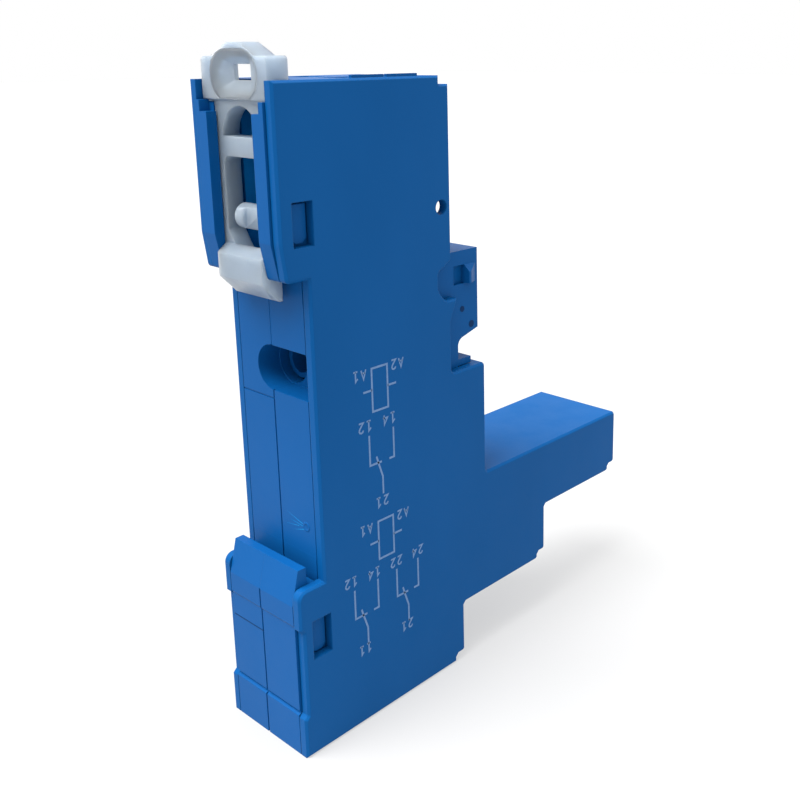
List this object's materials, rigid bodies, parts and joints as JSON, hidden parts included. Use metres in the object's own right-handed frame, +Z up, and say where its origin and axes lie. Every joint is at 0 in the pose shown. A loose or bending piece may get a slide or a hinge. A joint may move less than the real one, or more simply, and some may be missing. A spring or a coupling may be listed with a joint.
{
  "type": "relay socket",
  "caption": "Slim stepped socket for a plug-in relay, with screw terminals on staggered levels, a hook and a sprung clip for a 35 mm rail",
  "frame": {"origin": "middle of the recess face that seats on the rail, halfway between the hook and the clip", "axes": "+X across the width, +Y towards the rail, +Z up towards the clip's pull tab"},
  "size_m": [0.0158, 0.0662, 0.0875],
  "materials": {
    "blue_plastic": "moulded, lightly textured",
    "blue_plastic_core": "moulded, smooth",
    "white_nylon": "slightly translucent nylon",
    "plated_screw": "zinc plated",
    "plated_clamp": "zinc plated, pressed",
    "side_print": "pale pad-printed ink",
    "contact_brass": "rolled strip"
  },
  "bodies": {
    "socket": {"casing": "blue_plastic", "core_left": "blue_plastic_core", "core_right": "blue_plastic_core", "contact_a1": "contact_brass", "contact_a2": "contact_brass", "contact_14": "contact_brass", "contact_24": "contact_brass", "contact_11": "contact_brass", "contact_21": "contact_brass", "contact_12": "contact_brass", "contact_22": "contact_brass"},
    "clip": {"rail_clip": "white_nylon"},
    "terminal_screw_a1": {"screw_a1": "plated_screw"},
    "terminal_clamp_a1": {"clamp_a1": "plated_clamp"},
    "terminal_screw_a2": {"screw_a2": "plated_screw"},
    "terminal_clamp_a2": {"clamp_a2": "plated_clamp"},
    "terminal_screw_14": {"screw_14": "plated_screw"},
    "terminal_clamp_14": {"clamp_14": "plated_clamp"},
    "terminal_screw_24": {"screw_24": "plated_screw"},
    "terminal_clamp_24": {"clamp_24": "plated_clamp"},
    "terminal_screw_11": {"screw_11": "plated_screw"},
    "terminal_clamp_11": {"clamp_11": "plated_clamp"},
    "terminal_screw_21": {"screw_21": "plated_screw"},
    "terminal_clamp_21": {"clamp_21": "plated_clamp"},
    "terminal_screw_12": {"screw_12": "plated_screw"},
    "terminal_clamp_12": {"clamp_12": "plated_clamp"},
    "terminal_screw_22": {"screw_22": "plated_screw"},
    "terminal_clamp_22": {"clamp_22": "plated_clamp"}
  },
  "joints": [
    {"name": "clip_pull", "type": "slide", "parent": "socket", "child": "clip", "axis": [0, 0, 1], "range_m": [0, 0.003], "stiffness_N_per_m": 1500},
    {"name": "screw_turn_a1", "type": "hinge", "parent": "socket", "child": "terminal_screw_a1", "pos_m": [-0.00375, -0.0229, 0.0368], "axis": [0, 1, 0], "range_deg": [0, 2160]},
    {"name": "clamp_rise_a1", "type": "slide", "parent": "socket", "child": "terminal_clamp_a1", "axis": [0, -1, 0], "range_m": [0, 0.003]},
    {"name": "screw_turn_a2", "type": "hinge", "parent": "socket", "child": "terminal_screw_a2", "pos_m": [0.00375, -0.0229, 0.0368], "axis": [0, 1, 0], "range_deg": [0, 2160]},
    {"name": "clamp_rise_a2", "type": "slide", "parent": "socket", "child": "terminal_clamp_a2", "axis": [0, -1, 0], "range_m": [0, 0.003]},
    {"name": "screw_turn_14", "type": "hinge", "parent": "socket", "child": "terminal_screw_14", "pos_m": [-0.00375, -0.0616, -0.0194], "axis": [0, 1, 0], "range_deg": [0, 2160]},
    {"name": "clamp_rise_14", "type": "slide", "parent": "socket", "child": "terminal_clamp_14", "axis": [0, -1, 0], "range_m": [0, 0.003]},
    {"name": "screw_turn_24", "type": "hinge", "parent": "socket", "child": "terminal_screw_24", "pos_m": [0.00375, -0.0616, -0.0194], "axis": [0, 1, 0], "range_deg": [0, 2160]},
    {"name": "clamp_rise_24", "type": "slide", "parent": "socket", "child": "terminal_clamp_24", "axis": [0, -1, 0], "range_m": [0, 0.003]},
    {"name": "screw_turn_11", "type": "hinge", "parent": "socket", "child": "terminal_screw_11", "pos_m": [-0.00375, -0.0429, -0.028], "axis": [0, 1, 0], "range_deg": [0, 2160]},
    {"name": "clamp_rise_11", "type": "slide", "parent": "socket", "child": "terminal_clamp_11", "axis": [0, -1, 0], "range_m": [0, 0.003]},
    {"name": "screw_turn_21", "type": "hinge", "parent": "socket", "child": "terminal_screw_21", "pos_m": [0.00375, -0.0429, -0.028], "axis": [0, 1, 0], "range_deg": [0, 2160]},
    {"name": "clamp_rise_21", "type": "slide", "parent": "socket", "child": "terminal_clamp_21", "axis": [0, -1, 0], "range_m": [0, 0.003]},
    {"name": "screw_turn_12", "type": "hinge", "parent": "socket", "child": "terminal_screw_12", "pos_m": [-0.00375, -0.0244, -0.0368], "axis": [0, 1, 0], "range_deg": [0, 2160]},
    {"name": "clamp_rise_12", "type": "slide", "parent": "socket", "child": "terminal_clamp_12", "axis": [0, -1, 0], "range_m": [0, 0.003]},
    {"name": "screw_turn_22", "type": "hinge", "parent": "socket", "child": "terminal_screw_22", "pos_m": [0.00375, -0.0244, -0.0368], "axis": [0, 1, 0], "range_deg": [0, 2160]},
    {"name": "clamp_rise_22", "type": "slide", "parent": "socket", "child": "terminal_clamp_22", "axis": [0, -1, 0], "range_m": [0, 0.003]}
  ],
  "couplings": [
    {"joint": "screw_turn_a1", "follows": "clamp_rise_a1", "rad_per_m": 12566},
    {"joint": "screw_turn_a2", "follows": "clamp_rise_a2", "rad_per_m": 12566},
    {"joint": "screw_turn_14", "follows": "clamp_rise_14", "rad_per_m": 12566},
    {"joint": "screw_turn_24", "follows": "clamp_rise_24", "rad_per_m": 12566},
    {"joint": "screw_turn_11", "follows": "clamp_rise_11", "rad_per_m": 12566},
    {"joint": "screw_turn_21", "follows": "clamp_rise_21", "rad_per_m": 12566},
    {"joint": "screw_turn_12", "follows": "clamp_rise_12", "rad_per_m": 12566},
    {"joint": "screw_turn_22", "follows": "clamp_rise_22", "rad_per_m": 12566}
  ]
}
